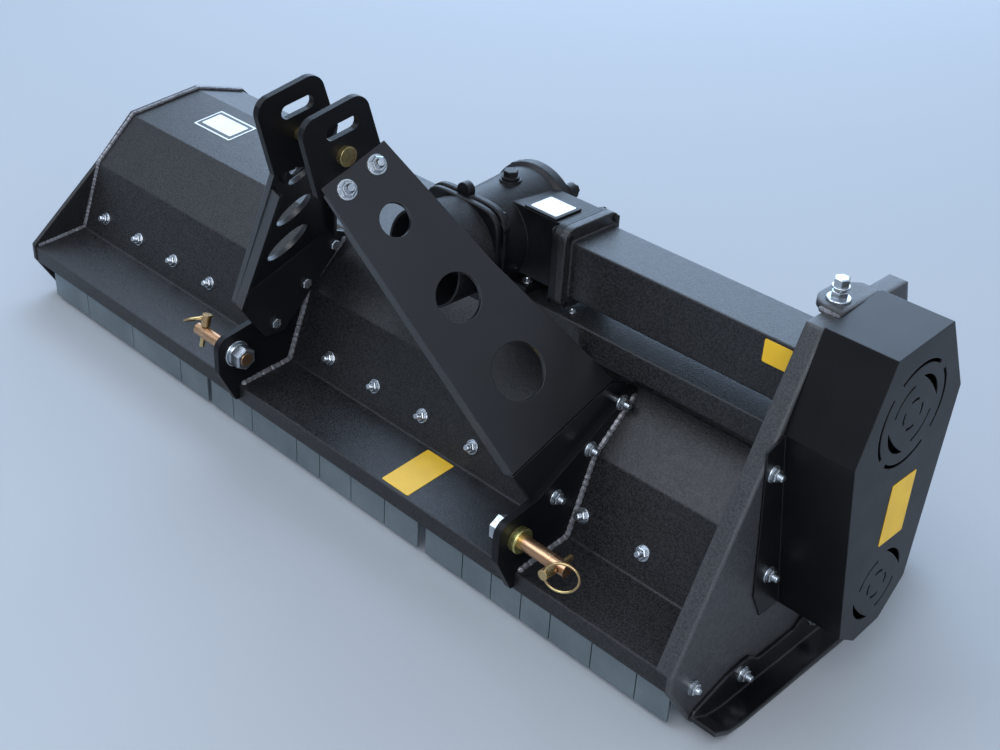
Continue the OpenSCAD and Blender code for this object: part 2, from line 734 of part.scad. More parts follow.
module left_roller_arm() color([0.25, 0.26, 0.27]) place() roller_arm(-left_outer - side_t);
module right_roller_arm() color([0.25, 0.26, 0.27]) place() roller_arm(right_outer);

module roller() color([0.2, 0.2, 0.21]) place() {
    rod_x(roller_y, roller_r, roller_r, -left_inner + 2, right_inner - 2);
    rod_x(roller_y, roller_r, axle_r, -left_outer - side_t + 1, right_outer + side_t - 1);
}

module chassis_bolts() color([0.7, 0.71, 0.73]) place() {
    for (y = skid_bolts_y) bolt_x(y, skid_bolt_z, right_inner, right_outer + skid_t);
    for (y = skid_bolts_y) bolt_x(y, skid_bolt_z, -left_outer, -left_inner + skid_t);
    for (p = arm_bolts) bolt_x(p.x, p.y, right_inner, right_outer + side_t);
    for (p = arm_bolts) bolt_x(p.x, p.y, -left_outer - side_t, -left_inner);
    for (p = port_points()) {
        hex_x(p.x, p.y, port_hex_r, neck_end - port_t - port_head, neck_end - port_t);
        rod_x(p.x, p.y, port_bolt_r, neck_end - port_t, neck_end + tube_flange);
        hex_x(p.x, p.y, port_hex_r, neck_end + tube_flange, neck_end + tube_flange + port_head);
    }
    for (p = base_points()) translate([p.x, p.y, beam_z]) {
        translate([0, 0, base_t]) cylinder(r = 10, h = bolt_head, $fn = 6);
        translate([0, 0, -beam_wall]) cylinder(r = bolt_r, h = base_t + beam_wall);
        translate([0, 0, -beam_wall - bolt_head]) cylinder(r = 10, h = bolt_head, $fn = 6);
    }
}

module flap_rod() color([0.6, 0.61, 0.63]) place() {
    rod_x(rod_y, rod_z, rod_r, -left_outer, right_outer);
    rod_x(rod_y, rod_z, 11, right_outer, right_outer + 4);
}

// Counter knife bar behind the front panel, as shares of the panel's height
bar_low = 0.08;
bar_high = 0.56;
bar_side = 6;

module counter_bar() color([0.15, 0.15, 0.16]) place() difference() {
    along_x(-left_inner + bar_side, right_inner - bar_side) polygon([
        panel_point(bar_low, hood_sheet + seat_gap), panel_point(bar_high, hood_sheet + seat_gap),
        panel_point(bar_high, hood_sheet + bar_t), panel_point(bar_low, hood_sheet + bar_t)]);
    panel_holes();
}

module panel_bolts() color([0.7, 0.71, 0.73]) place() for (i = [0 : panel_bolt_count - 1])
    at_panel(panel_bolt_x(i), panel_bolt_share) {
        cylinder(r = 12, h = 2);
        translate([0, 0, 2]) cylinder(r = 9, h = bolt_head, $fn = 6);
        translate([0, 0, -hood_sheet - bar_t]) cylinder(r = bolt_r, h = hood_sheet + bar_t);
        translate([0, 0, -hood_sheet - bar_t - 6]) cylinder(r = 10, h = 6, $fn = 6);
    }

bearing_w = 24;

module rotor_bearing(x0) difference() {
    rod_x(rotor_y, rotor_z, 48, x0, x0 + bearing_w);
    rod_x(rotor_y, rotor_z, shaft_r + run_gap, x0 - 1, x0 + bearing_w + 1);
}

module left_rotor_bearing() color([0.2, 0.2, 0.21]) place() rotor_bearing(-left_inner);
module right_rotor_bearing() color([0.2, 0.2, 0.21]) place() rotor_bearing(right_inner - bearing_w);

ear_t = 6;
rotor_start = -left_inner + bearing_w + 8;
rotor_end = right_inner - bearing_w - 8;
hammer_pitch = (rotor_end - rotor_start) / hammer_count;
function hammer_x(i, row) = rotor_start + (i + 0.3 + 0.4 * row) * hammer_pitch;

// Local frame with Y outward from the rotor axis
module on_rotor(angle) translate([0, rotor_y, rotor_z]) rotate([angle, 0, 0]) children();

module ears(x) for (x0 = [x - hammer_t / 2 - 1 - ear_t, x + hammer_t / 2 + 1])
    along_x(x0, x0 + ear_t) translate([30, -13]) square([pivot_radius - 30 + 13, 26]);

module rotor() color([0.16, 0.16, 0.17]) place() {
    rod_x(rotor_y, rotor_z, rotor_r, rotor_start, rotor_end);
    rod_x(rotor_y, rotor_z, shaft_r, -left_inner + 2, pulley_start + pulley_w + 6);
    for (i = [0 : hammer_count - 1]) for (row = [0, 1]) on_rotor(90 + 180 * row) {
        x = hammer_x(i, row);
        ears(x);
        rod_x(pivot_radius, 0, pivot_r, x - hammer_t / 2 - 2, x + hammer_t / 2 + 2);
    }
}

module hammer_row(row) for (i = [0 : hammer_count - 1]) on_rotor(90 + 180 * row) {
    x = hammer_x(i, row);
    difference() {
        union() {
            rod_x(pivot_radius, 0, 15, x - hammer_t / 2, x + hammer_t / 2);
            along_x(x - hammer_t / 2, x + hammer_t / 2)
                polygon([[pivot_radius, -14], [swing_r - 6, -24], [swing_r - 6, 24], [pivot_radius, 14]]);
        }
        rod_x(pivot_radius, 0, pivot_r + run_gap, x - hammer_t, x + hammer_t);
    }
}

module hammers_a() color([0.28, 0.27, 0.26]) place() hammer_row(0);
module hammers_b() color([0.28, 0.27, 0.26]) place() hammer_row(1);

// Flap edges in three sections, with a gap between sections
section_edges = [[-932, -814, -663, -512, -430], [-420, -357, -304, -184, -125, -47, 33, 110],
    [126, 207, 267, 327, 384, 462, 542, 600]];

module flap(section, i) {
    x0 = section_edges[section][i] + flap_gap / 2;
    x1 = section_edges[section][i + 1] - flap_gap / 2;
    color([0.55, 0.58, 0.62]) place() difference() {
        union() {
            rod_x(rod_y, rod_z, rod_r + flap_t, x0, x1);
            along_x(x0, x1) translate([rod_y - rod_r - flap_t, flap_z]) square([flap_t, rod_z - flap_z]);
        }
        rod_x(rod_y, rod_z, rod_r + run_gap, x0 - 1, x1 + 1);
    }
}

module flap_01() flap(0, 0);
module flap_02() flap(0, 1);
module flap_03() flap(0, 2);
module flap_04() flap(0, 3);
module flap_05() flap(1, 0);
module flap_06() flap(1, 1);
module flap_07() flap(1, 2);
module flap_08() flap(1, 3);
module flap_09() flap(1, 4);
module flap_10() flap(1, 5);
module flap_11() flap(1, 6);
module flap_12() flap(2, 0);
module flap_13() flap(2, 1);
module flap_14() flap(2, 2);
module flap_15() flap(2, 3);
module flap_16() flap(2, 4);
module flap_17() flap(2, 5);
module flap_18() flap(2, 6);

hood();
left_side_plate();
right_side_plate();
cross_beam();
left_hitch_lug();
right_hitch_lug();
left_brace();
right_brace();
left_clevis_plate();
right_clevis_plate();
headstock_bolts();
left_link_pin();
right_link_pin();
top_link_pin();
gearbox_housing();
oil_plug();
pto_guard();
shaft_tube();
tensioner_bolt();
belt_cover();
cover_bolts();
left_skid();
right_skid();
chassis_bolts();
flap_rod();
counter_bar();
panel_bolts();
left_rotor_bearing();
right_rotor_bearing();
drive_belts();
left_roller_arm();
right_roller_arm();
input_shaft();
drive_shaft();
upper_pulley();
rotor();
lower_pulley();
hammers_a();
hammers_b();
roller();
left_linchpin();
right_linchpin();
flap_01();
flap_02();
flap_03();
flap_04();
flap_05();
flap_06();
flap_07();
flap_08();
flap_09();
flap_10();
flap_11();
flap_12();
flap_13();
flap_14();
flap_15();
flap_16();
flap_17();
flap_18();
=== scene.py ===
import json
import math
import random

import bmesh
import bpy
from mathutils import Matrix, Vector


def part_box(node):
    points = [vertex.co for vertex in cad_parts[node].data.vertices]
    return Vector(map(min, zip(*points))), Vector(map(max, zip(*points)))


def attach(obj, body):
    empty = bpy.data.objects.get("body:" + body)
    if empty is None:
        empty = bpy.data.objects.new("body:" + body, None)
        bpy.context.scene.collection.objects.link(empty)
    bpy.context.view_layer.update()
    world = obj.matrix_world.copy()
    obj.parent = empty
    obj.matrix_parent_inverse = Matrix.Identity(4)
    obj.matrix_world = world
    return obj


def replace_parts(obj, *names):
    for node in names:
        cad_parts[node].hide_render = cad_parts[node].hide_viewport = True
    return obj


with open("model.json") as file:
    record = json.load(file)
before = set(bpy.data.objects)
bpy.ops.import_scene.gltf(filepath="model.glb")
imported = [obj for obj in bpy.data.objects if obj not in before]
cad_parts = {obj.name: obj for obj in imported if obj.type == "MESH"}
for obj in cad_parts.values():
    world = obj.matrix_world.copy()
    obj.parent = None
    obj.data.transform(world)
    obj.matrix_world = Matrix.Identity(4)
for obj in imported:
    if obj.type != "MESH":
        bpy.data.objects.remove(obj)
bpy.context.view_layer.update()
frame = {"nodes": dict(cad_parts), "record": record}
random.seed(7)
scene = bpy.context.scene
nodes = frame["nodes"]

# Headstock centre and front lip, from which the millimetre sizes below are counted
HEAD_X = (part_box("left_hitch_lug")[0].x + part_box("right_hitch_lug")[1].x) / 2
LIP_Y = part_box("hood")[0].y


def at(x, y, z):
    """A point given from the headstock centre, front lip and floor, in millimetres."""
    return Vector((x / 1000 + HEAD_X, y / 1000 + LIP_Y, z / 1000))


# Surfaces: how far noise spreads over a colour ramp, where edges wear, and how gloss and bumps vary
RAMP_MIDDLE, RAMP_SPREAD, SPECKLE_NARROWS = 0.5, 0.2, 0.1
WEAR_FROM, WEAR_TO = 0.86, 0.97
GLOSS_LOW, GLOSS_HIGH, GLOSS_SCALE = 0.93, 1.07, 2.3
GRAIN_DETAIL, GLOSS_DETAIL, MOTTLE_DETAIL = 2, 4, 6
BUMP_DEPTH = 0.001
WHITE, BLACK = (1, 1, 1, 1), (0, 0, 0, 1)


def finish(name, light, dark, rough, mottle, grain, relief,
           metallic=0.0, speckle=0.0, gleam=0.5, wear=None, bend=0.0015):
    """A surface with mottled and speckled colour, uneven gloss, fine bumps and rounded, worn edges."""
    mat = bpy.data.materials.new(name)
    mat.use_nodes = True
    tree = mat.node_tree
    shader = tree.nodes["Principled BSDF"]
    coords = tree.nodes.new("ShaderNodeTexCoord").outputs["Object"]

    def noise(scale, detail):
        node = tree.nodes.new("ShaderNodeTexNoise")
        node.inputs["Scale"].default_value = scale
        node.inputs["Detail"].default_value = detail
        tree.links.new(coords, node.inputs["Vector"])
        return node.outputs["Fac"]

    def ramp(value, low, high, low_at, high_at):
        node = tree.nodes.new("ShaderNodeValToRGB")
        first, last = node.color_ramp.elements
        first.color = low
        first.position = low_at
        last.color = high
        last.position = high_at
        tree.links.new(value, node.inputs["Fac"])
        return node.outputs["Color"]

    fine = noise(grain, GRAIN_DETAIL)
    pattern = tree.nodes.new("ShaderNodeMix")
    pattern.inputs["Factor"].default_value = speckle
    tree.links.new(noise(mottle, MOTTLE_DETAIL), pattern.inputs["A"])
    tree.links.new(fine, pattern.inputs["B"])
    spread = RAMP_SPREAD - SPECKLE_NARROWS * speckle
    colour = ramp(pattern.outputs["Result"], (*dark, 1), (*light, 1),
                  RAMP_MIDDLE - spread, RAMP_MIDDLE + spread)

    rounded = tree.nodes.new("ShaderNodeBevel")
    rounded.inputs["Radius"].default_value = bend
    if wear:
        facing = tree.nodes.new("ShaderNodeVectorMath")
        facing.operation = "DOT_PRODUCT"
        flat_face = tree.nodes.new("ShaderNodeNewGeometry")
        tree.links.new(rounded.outputs["Normal"], facing.inputs[0])
        tree.links.new(flat_face.outputs["Normal"], facing.inputs[1])
        mask = ramp(facing.outputs["Value"], WHITE, BLACK, WEAR_FROM, WEAR_TO)
        worn = tree.nodes.new("ShaderNodeMixRGB")
        worn.inputs["Color2"].default_value = (*wear, 1)
        tree.links.new(mask, worn.inputs["Fac"])
        tree.links.new(colour, worn.inputs["Color1"])
        colour = worn.outputs["Color"]
    tree.links.new(colour, shader.inputs["Base Color"])

    glossy = (rough * GLOSS_LOW,) * 3
    dull = (rough * GLOSS_HIGH,) * 3
    shine = noise(mottle * GLOSS_SCALE, GLOSS_DETAIL)
    gloss = ramp(shine, (*glossy, 1), (*dull, 1), RAMP_MIDDLE - RAMP_SPREAD, RAMP_MIDDLE + RAMP_SPREAD)
    tree.links.new(gloss, shader.inputs["Roughness"])
    shader.inputs["Metallic"].default_value = metallic
    shader.inputs["Specular IOR Level"].default_value = gleam

    bump = tree.nodes.new("ShaderNodeBump")
    bump.inputs["Strength"].default_value = relief
    bump.inputs["Distance"].default_value = BUMP_DEPTH
    tree.links.new(fine, bump.inputs["Height"])
    tree.links.new(rounded.outputs["Normal"], bump.inputs["Normal"])
    tree.links.new(bump.outputs["Normal"], shader.inputs["Normal"])
    return mat


# Paints, platings, rubber and blank patches
SURFACES = {
    "hammered_grey": dict(light=(0.0185, 0.018, 0.0195), dark=(0.003, 0.003, 0.0035), rough=0.42,
                          mottle=40, grain=340, relief=0.38, speckle=0.88,
                          gleam=0.4, wear=(0.03, 0.03, 0.033), bend=0.005),
    # Painted light: a lighter copy of hammered_grey for the right side plate, standing in for the light
    # that falls on it from the right
    "plate_grey_painted_light": dict(light=(0.041, 0.042, 0.045), dark=(0.018, 0.018, 0.020), rough=0.42,
                       mottle=40, grain=420, relief=0.30, speckle=0.88,
                       gleam=0.45, wear=(0.07, 0.07, 0.075), bend=0.010),
    "headstock_black": dict(light=(0.004, 0.004, 0.005), dark=(0.002, 0.002, 0.003), rough=0.46,
                            mottle=12, grain=260, relief=0.03, gleam=0.2, wear=(0.008, 0.008, 0.010)),
    # Painted sheen: the braces' copy of headstock_black has a lighter, bluer base colour standing in for
    # the sky's reflection on their faces; its lower roughness and higher specular are gloss
    "brace_black_painted_sheen": dict(light=(0.006, 0.006, 0.008), dark=(0.004, 0.004, 0.005), rough=0.34,
                        mottle=8, grain=260, relief=0.02, wear=(0.02, 0.02, 0.024)),
    "skid_gloss": dict(light=(0.005, 0.005, 0.006), dark=(0.003, 0.003, 0.004), rough=0.24,
                       mottle=12, grain=260, relief=0.03, wear=(0.02, 0.02, 0.022), bend=0.005),
    "cast_black": dict(light=(0.007, 0.007, 0.008), dark=(0.002, 0.002, 0.003), rough=0.40,
                       mottle=20, grain=190, relief=0.3, gleam=0.22, bend=0.003),
    "guard_plastic": dict(light=(0.014, 0.014, 0.016), dark=(0.004, 0.004, 0.005), rough=0.6,
                          mottle=20, grain=300, relief=0.4, speckle=0.7, gleam=0.25),
    "cover_grey": dict(light=(0.004, 0.004, 0.0045), dark=(0.002, 0.002, 0.0025), rough=0.36,
                       mottle=12, grain=420, relief=0.03,
                       gleam=0.24, wear=(0.012, 0.012, 0.014), bend=0.002),
    "flap_zinc": dict(light=(0.24, 0.285, 0.30), dark=(0.17, 0.205, 0.22), rough=0.42,
                      mottle=12, grain=260, relief=0.06, metallic=0.8, speckle=0.2),
    "yellow_zinc": dict(light=(0.62, 0.52, 0.24), dark=(0.44, 0.26, 0.14), rough=0.27,
                        mottle=34, grain=500, relief=0.04, metallic=0.95),
    "pin_copper": dict(light=(0.58, 0.38, 0.22), dark=(0.40, 0.20, 0.11), rough=0.28,
                       mottle=16, grain=500, relief=0.04, metallic=0.95),
    "collar_gold": dict(light=(0.66, 0.64, 0.26), dark=(0.50, 0.46, 0.16), rough=0.26,
                        mottle=40, grain=500, relief=0.04, metallic=0.95),
    "bright_zinc": dict(light=(0.56, 0.59, 0.62), dark=(0.34, 0.37, 0.41), rough=0.26,
                        mottle=60, grain=600, relief=0.015, metallic=0.95, bend=0.0008),
    "shaft_steel": dict(light=(0.5, 0.5, 0.51), dark=(0.36, 0.36, 0.37), rough=0.3,
                        mottle=40, grain=700, relief=0.04, metallic=0.95),
    "belt_rubber": dict(light=(0.012, 0.012, 0.012), dark=(0.008, 0.008, 0.008), rough=0.75,
                        mottle=40, grain=500, relief=0.2),
    "rotor_dark": dict(light=(0.040, 0.038, 0.036), dark=(0.022, 0.021, 0.020), rough=0.5,
                       mottle=18, grain=240, relief=0.2, metallic=0.2),
    "weld": dict(light=(0.24, 0.24, 0.26), dark=(0.07, 0.07, 0.075), rough=0.32,
                 mottle=90, grain=420, relief=0.5, metallic=0.4, speckle=0.5, bend=0.0005),
    "patch_yellow": dict(light=(0.76, 0.46, 0.015), dark=(0.68, 0.40, 0.012), rough=0.42,
                         mottle=30, grain=300, relief=0.02),
    "patch_white": dict(light=(0.66, 0.69, 0.71), dark=(0.58, 0.61, 0.63), rough=0.42,
                        mottle=30, grain=300, relief=0.02),
    "patch_black": dict(light=(0.010, 0.010, 0.011), dark=(0.007, 0.007, 0.008), rough=0.35,
                        mottle=30, grain=300, relief=0.02),
}
LOOKS = {name: finish(name, **surface) for name, surface in SURFACES.items()}

# Nodes with a look of their own, among them lighter copies of a paint that carry painted sheen on the
# braces and painted light on the right side plate, and rounded edges as a width and the least angle of a
# fold
OWN_LOOK = {"left_brace": "brace_black_painted_sheen", "right_brace": "brace_black_painted_sheen",
            "left_link_pin": "pin_copper", "right_link_pin": "pin_copper",
            "left_skid": "skid_gloss", "right_skid": "skid_gloss", "right_side_plate": "plate_grey_painted_light"}
PLAIN_EDGE = (0.0012, 35)
OWN_EDGE = {"hood": (0.0016, 12), "right_side_plate": (0.0022, 25),
            "left_brace": (0.0025, 35), "right_brace": (0.0025, 35)}
EDGE_STEPS = 3
for part in frame["record"]["subparts"]:
    obj = nodes[part["node"]]
    obj.data.materials.clear()
    obj.data.materials.append(LOOKS[OWN_LOOK.get(part["node"], part["material_slot"])])
    width, angle = OWN_EDGE.get(part["node"], PLAIN_EDGE)
    edge = obj.modifiers.new("edge", "BEVEL")
    edge.width = width
    edge.segments = EDGE_STEPS
    edge.limit_method = "ANGLE"
    edge.angle_limit = math.radians(angle)

# Small pieces
SHARP_ANGLE = math.radians(35)


def add(name, mesh_maker, body, look):
    """A new piece from a bmesh function, riding on a body, with one of the finishes."""
    mesh = bpy.data.meshes.new(name)
    bm = bmesh.new()
    mesh_maker(bm)
    bmesh.ops.recalc_face_normals(bm, faces=bm.faces)
    bm.to_mesh(mesh)
    bm.free()
    mesh.shade_smooth()
    mesh.set_sharp_from_angle(angle=SHARP_ANGLE)
    obj = bpy.data.objects.new(name, mesh)
    scene.collection.objects.link(obj)
    mesh.materials.append(LOOKS[look])
    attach(obj, body)
    return obj


def skin(bm, rings, closed=False):
    """A surface through rings of points, closed on itself or capped at both ends."""
    following = rings[1:] + rings[:1] if closed else rings[1:]
    for low, high in zip(rings, following):
        for i in range(len(low)):
            j = (i + 1) % len(low)
            bm.faces.new((low[i], low[j], high[j], high[i]))
    if not closed:
        bm.faces.new(rings[0][::-1])
        bm.faces.new(rings[-1])


def lathe(bm, base, axis, profile, sides=24):
    """A turned form along axis from base, through pairs of radius and height in millimetres."""
    turn = Vector((0, 0, 1)).rotation_difference(Vector(axis)).to_matrix()
    rings = []
    for radius, height in profile:
        ring = []
        for i in range(sides):
            angle = 2 * math.pi * i / sides
            spoke = Vector((radius * math.cos(angle), radius * math.sin(angle), height)) / 1000
            ring.append(bm.verts.new(base + turn @ spoke))
        rings.append(ring)
    skin(bm, rings)


# Proportions of fasteners, as shares of a radius, a height or a thread's pitch
HEX_CHAMFER, HEX_FOOT, HEX_TOP = 0.12, 0.95, 0.84
DISC_FLAT, DISC_TOP = 0.6, 0.94
PITCH, THREAD_FOOT, THREAD_ROOT, THREAD_TIP = 0.34, 0.9, 0.87, 0.72
CREST_AT, ROOT_AT = 0.3, 0.75
DISC_R, DISC_H = 2.05, 0.35
NUT_R, NUT_H = 1.62, 1.0
BOLT_HEAD_R, BOLT_HEAD_H = 1.6, 0.8
THREAD_R, SHANK_R = 0.92, 0.96
SHANK_SIDES = 16
LONG_END, BRACE_END, BASE_END, PORT_END, FLUSH_END = 1.3, 0.9, 0.6, 0.5, 0.1


def hexagon(bm, base, axis, radius, height):
    """A hexagon head or nut with chamfered ends."""
    chamfer = HEX_CHAMFER * radius
    lathe(bm, base, axis, [(radius * HEX_FOOT, 0), (radius, chamfer / 2),
                           (radius, height - chamfer), (radius * HEX_TOP, height)], 6)


def washer(bm, base, axis, radius, height):
    """A flat washer with a softened rim."""
    lathe(bm, base, axis, [(radius, 0), (radius, height * DISC_FLAT), (radius * DISC_TOP, height)])


def thread(bm, base, axis, radius, length):
    """A threaded end with ridges and a chamfered tip."""
    pitch = radius * PITCH
    profile = [(radius * THREAD_FOOT, 0)]
    for i in range(int(length / pitch)):
        profile += [(radius, (i + CREST_AT) * pitch), (radius * THREAD_ROOT, (i + ROOT_AT) * pitch)]
    profile.append((radius * THREAD_TIP, length))
    lathe(bm, base, axis, profile, SHANK_SIDES)


def fastener(bm, base, axis, bolt, grip, proud=LONG_END):
    """Washer, nut and thread end on a face, with the shank and head behind it."""
    axis = Vector(axis).normalized()
    disc = DISC_H * bolt
    nut = NUT_H * bolt
    washer(bm, base, axis, DISC_R * bolt, disc)
    hexagon(bm, base + axis * disc / 1000, axis, NUT_R * bolt, nut)
    thread(bm, base + axis * (disc + nut) / 1000, axis, THREAD_R * bolt, proud * bolt)
    lathe(bm, base, -axis, [(SHANK_R * bolt, 0), (SHANK_R * bolt, grip)], SHANK_SIDES)
    hexagon(bm, base - axis * grip / 1000, -axis, BOLT_HEAD_R * bolt, BOLT_HEAD_H * bolt)


# Sizes shared with the solids, in millimetres
LEFT_FACE, LEFT_INNER, RIGHT_INNER, RIGHT_FACE = -972, -964, 614, 622
SIDE_T, SKID_T, COVER_T = 8, 6, 3
COVER_FACE = 724
LUG_IN, LUG_OUT, BRACE_T, PAD_T = 314, 326, 8, 8
LINK_Y, LINK_Z = -2, 168
GEAR_X, DRIVE_Y, DRIVE_Z = 70, 226, 479
BEAM_TOP, BEAM_H, BEAM_WALL = 410, 38, 5
TUBE_HALF = 42
BOLT = 6

# Front panel bolts, seen as washer, nut and thread end
PANEL_FOOT = Vector((107, 114))
PANEL_RUN = Vector((45, 124))
PANEL_OUT = (0, -PANEL_RUN.y, PANEL_RUN.x)
PANEL_BOLTS, PANEL_FIRST, PANEL_PITCH, PANEL_SHARE = 13, -901, 112.7, 0.3
PANEL_GRIP = 12


def panel_fasteners(bm):
    """A row of fasteners along the front panel."""
    spot = PANEL_FOOT + PANEL_RUN * PANEL_SHARE
    for i in range(PANEL_BOLTS):
        fastener(bm, at(PANEL_FIRST + i * PANEL_PITCH, spot.x, spot.y), PANEL_OUT, BOLT, PANEL_GRIP)


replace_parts(add("panel_fasteners", panel_fasteners, "frame", "bright_zinc"), "panel_bolts")

# Headstock bolts on the lugs, the braces and the link pins, with a brace's place as corner and directions
LUG_BOLTS = [(73, 201), (138, 253), (199, 305)]
BRACE_TILT = math.radians(20)
BRACE_CORNER = Vector((46, -115, 630))
BRACE_ACROSS = Vector((0, math.cos(BRACE_TILT), math.sin(BRACE_TILT)))
BRACE_RUN = Vector((268, 109, -360))
BRACE_DOWN = (BRACE_RUN - BRACE_ACROSS * BRACE_RUN.dot(BRACE_ACROSS)).normalized()
BRACE_NORMAL = BRACE_ACROSS.cross(BRACE_DOWN)
BRACE_BOLTS = [(83, 26), (28, 28)]
BRACE_BOLT = 7
LINK_WASHER, LINK_RING, LINK_NUT = 23, 19, 20
LINK_WASHER_T, LINK_RING_T, LINK_NUT_H = 3, 4, 20


def headstock_fasteners(bm):
    """Fasteners of both lugs and braces, and the link pins' washers and nuts."""
    for sign in (-1, 1):
        for y, z in LUG_BOLTS:
            fastener(bm, at(sign * LUG_OUT, y, z), (sign, 0, 0), BOLT, LUG_OUT - LUG_IN + BRACE_T)
        for u, v in BRACE_BOLTS:
            spot = BRACE_CORNER + BRACE_ACROSS * u + BRACE_DOWN * v
            axis = (-sign * BRACE_NORMAL.x, -BRACE_NORMAL.y, -BRACE_NORMAL.z)
            fastener(bm, at(sign * spot.x, spot.y, spot.z), axis, BRACE_BOLT, BRACE_T + PAD_T, BRACE_END)
        inner = at(sign * LUG_IN, LINK_Y, LINK_Z)
        inward = Vector((-sign, 0, 0))
        washer(bm, inner, inward, LINK_WASHER, LINK_WASHER_T)
        washer(bm, inner + inward * LINK_WASHER_T / 1000, inward, LINK_RING, LINK_RING_T)
        hexagon(bm, inner + inward * (LINK_WASHER_T + LINK_RING_T) / 1000, inward, LINK_NUT, LINK_NUT_H)


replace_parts(add("headstock_fasteners", headstock_fasteners, "frame", "bright_zinc"),
            "headstock_bolts")

# Plated collars of the lower link pins
COLLAR_R, COLLAR_T = 19.6, 12.4
COLLAR_FOOT, COLLAR_RIM = 1, 1.5
COLLAR_SIDES = 32
COLLAR_PROFILE = [(COLLAR_R - COLLAR_FOOT, 0), (COLLAR_R, COLLAR_FOOT),
                  (COLLAR_R, COLLAR_T - COLLAR_RIM), (COLLAR_R - COLLAR_RIM, COLLAR_T)]


def link_collars(bm):
    """A collar on the outer face of each lug."""
    for sign in (-1, 1):
        lathe(bm, at(sign * LUG_OUT, LINK_Y, LINK_Z), (sign, 0, 0), COLLAR_PROFILE, COLLAR_SIDES)


add("link_collars", link_collars, "frame", "collar_gold")

# Bolts of the cover, the skids, the roller arms, the gearbox and the beam, and the flap rod's end
COVER_BOLTS = [(126, 380), (162, 200)]
SKID_BOLTS = [(140, 38), (310, 38)]
ARM_BOLTS = [(484, 136), (500, 108)]
BASE_T, BASE_BOLT = 12, 4
BASE_Y, BASE_DX, BASE_DY = 221, 66, 28
BASE_BOLTS = [(GEAR_X + sx * BASE_DX, BASE_Y + sy * BASE_DY) for sx in (-1, 1) for sy in (-1, 1)]
BEAM_BOLT, BEAM_BOLT_X, BEAM_BOLT_Y = 3, 225, 193
PORT_FACE, PORT_GRIP, PORT_BOLT = 198, 24, 4
PORT_DY, PORT_DZ = 48, 51
PORT_BOLTS = [(DRIVE_Y + sy * PORT_DY, DRIVE_Z + sz * PORT_DZ) for sy in (-1, 1) for sz in (-1, 1)]
ROD_END, ROD_Y, ROD_Z = 626, 25, 86
ROD_NUT_R, ROD_NUT_H = 9.5, 6
ROD_THREAD_R, ROD_THREAD_L = 5.5, 5


def cover_fasteners(bm):
    """Fasteners on the cover's flange."""
    for y, z in COVER_BOLTS:
        fastener(bm, at(RIGHT_FACE + COVER_T, y, z), (1, 0, 0), BOLT, SIDE_T + COVER_T)


def chassis_fasteners(bm):
    """Fasteners of the skids, roller arms, gearbox base and beam, and the flap rod's nut."""
    for y, z in SKID_BOLTS:
        fastener(bm, at(RIGHT_FACE + SKID_T, y, z), (1, 0, 0), BOLT, SIDE_T + SKID_T)
        fastener(bm, at(LEFT_FACE, y, z), (-1, 0, 0), BOLT, SIDE_T + SKID_T, FLUSH_END)
    for y, z in ARM_BOLTS:
        fastener(bm, at(RIGHT_FACE + SIDE_T, y, z), (1, 0, 0), BOLT, 2 * SIDE_T)
        fastener(bm, at(LEFT_FACE - SIDE_T, y, z), (-1, 0, 0), BOLT, 2 * SIDE_T, FLUSH_END)
    for x, y in BASE_BOLTS:
        fastener(bm, at(x, y, BEAM_TOP + BASE_T), (0, 0, 1), BASE_BOLT, BASE_T + BEAM_WALL, BASE_END)
    fastener(bm, at(BEAM_BOLT_X, BEAM_BOLT_Y, BEAM_TOP), (0, 0, 1), BEAM_BOLT, BEAM_WALL, BASE_END)
    hexagon(bm, at(ROD_END, ROD_Y, ROD_Z), (1, 0, 0), ROD_NUT_R, ROD_NUT_H)
    thread(bm, at(ROD_END + ROD_NUT_H, ROD_Y, ROD_Z), (1, 0, 0), ROD_THREAD_R, ROD_THREAD_L)


def port_fasteners(bm):
    """Fasteners around the gearbox's side port."""
    for y, z in PORT_BOLTS:
        fastener(bm, at(PORT_FACE, y, z), (-1, 0, 0), PORT_BOLT, PORT_GRIP, PORT_END)


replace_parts(add("cover_fasteners", cover_fasteners, "frame", "bright_zinc"), "cover_bolts")
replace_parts(add("chassis_fasteners", chassis_fasteners, "frame", "bright_zinc"),
            "chassis_bolts")
add("port_fasteners", port_fasteners, "frame", "cast_black")

# Belt tensioner bolt: each piece of its stack as shape, height above the bracket, radius and length
TENSION_X, TENSION_Y, TENSION_Z = 598, 250, 570
TENSION_FOOT = 521
TENSION_STACK = [(washer, 0, 16, 3), (hexagon, 3, 11.5, 10), (thread, 13, 8, 5),
                 (washer, 17, 12, 2), (hexagon, 19, 10.5, 11)]


def tensioner(bm):
    """The bolt's shank below the bracket, and the washers, nut, thread and head above it."""
    shank = [(BOLT, 0), (BOLT, TENSION_Z - TENSION_FOOT)]
    lathe(bm, at(TENSION_X, TENSION_Y, TENSION_FOOT), (0, 0, 1), shank, SHANK_SIDES)
    for shape, height, radius, length in TENSION_STACK:
        shape(bm, at(TENSION_X, TENSION_Y, TENSION_Z + height), (0, 0, 1), radius, length)


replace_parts(add("tensioner_stack", tensioner, "frame", "bright_zinc"), "tensioner_bolt")

# Square front flange around the power take-off guard: each layer as half width, hole, front and back
FLANGE_LAYERS = [(74, 71, 117, 127), (76, 62, 129, 140)]
FLANGE_EDGE = 2
FLANGE_POINTS = 72
ROUND_POWER, SQUARE_POWER = 2, 5


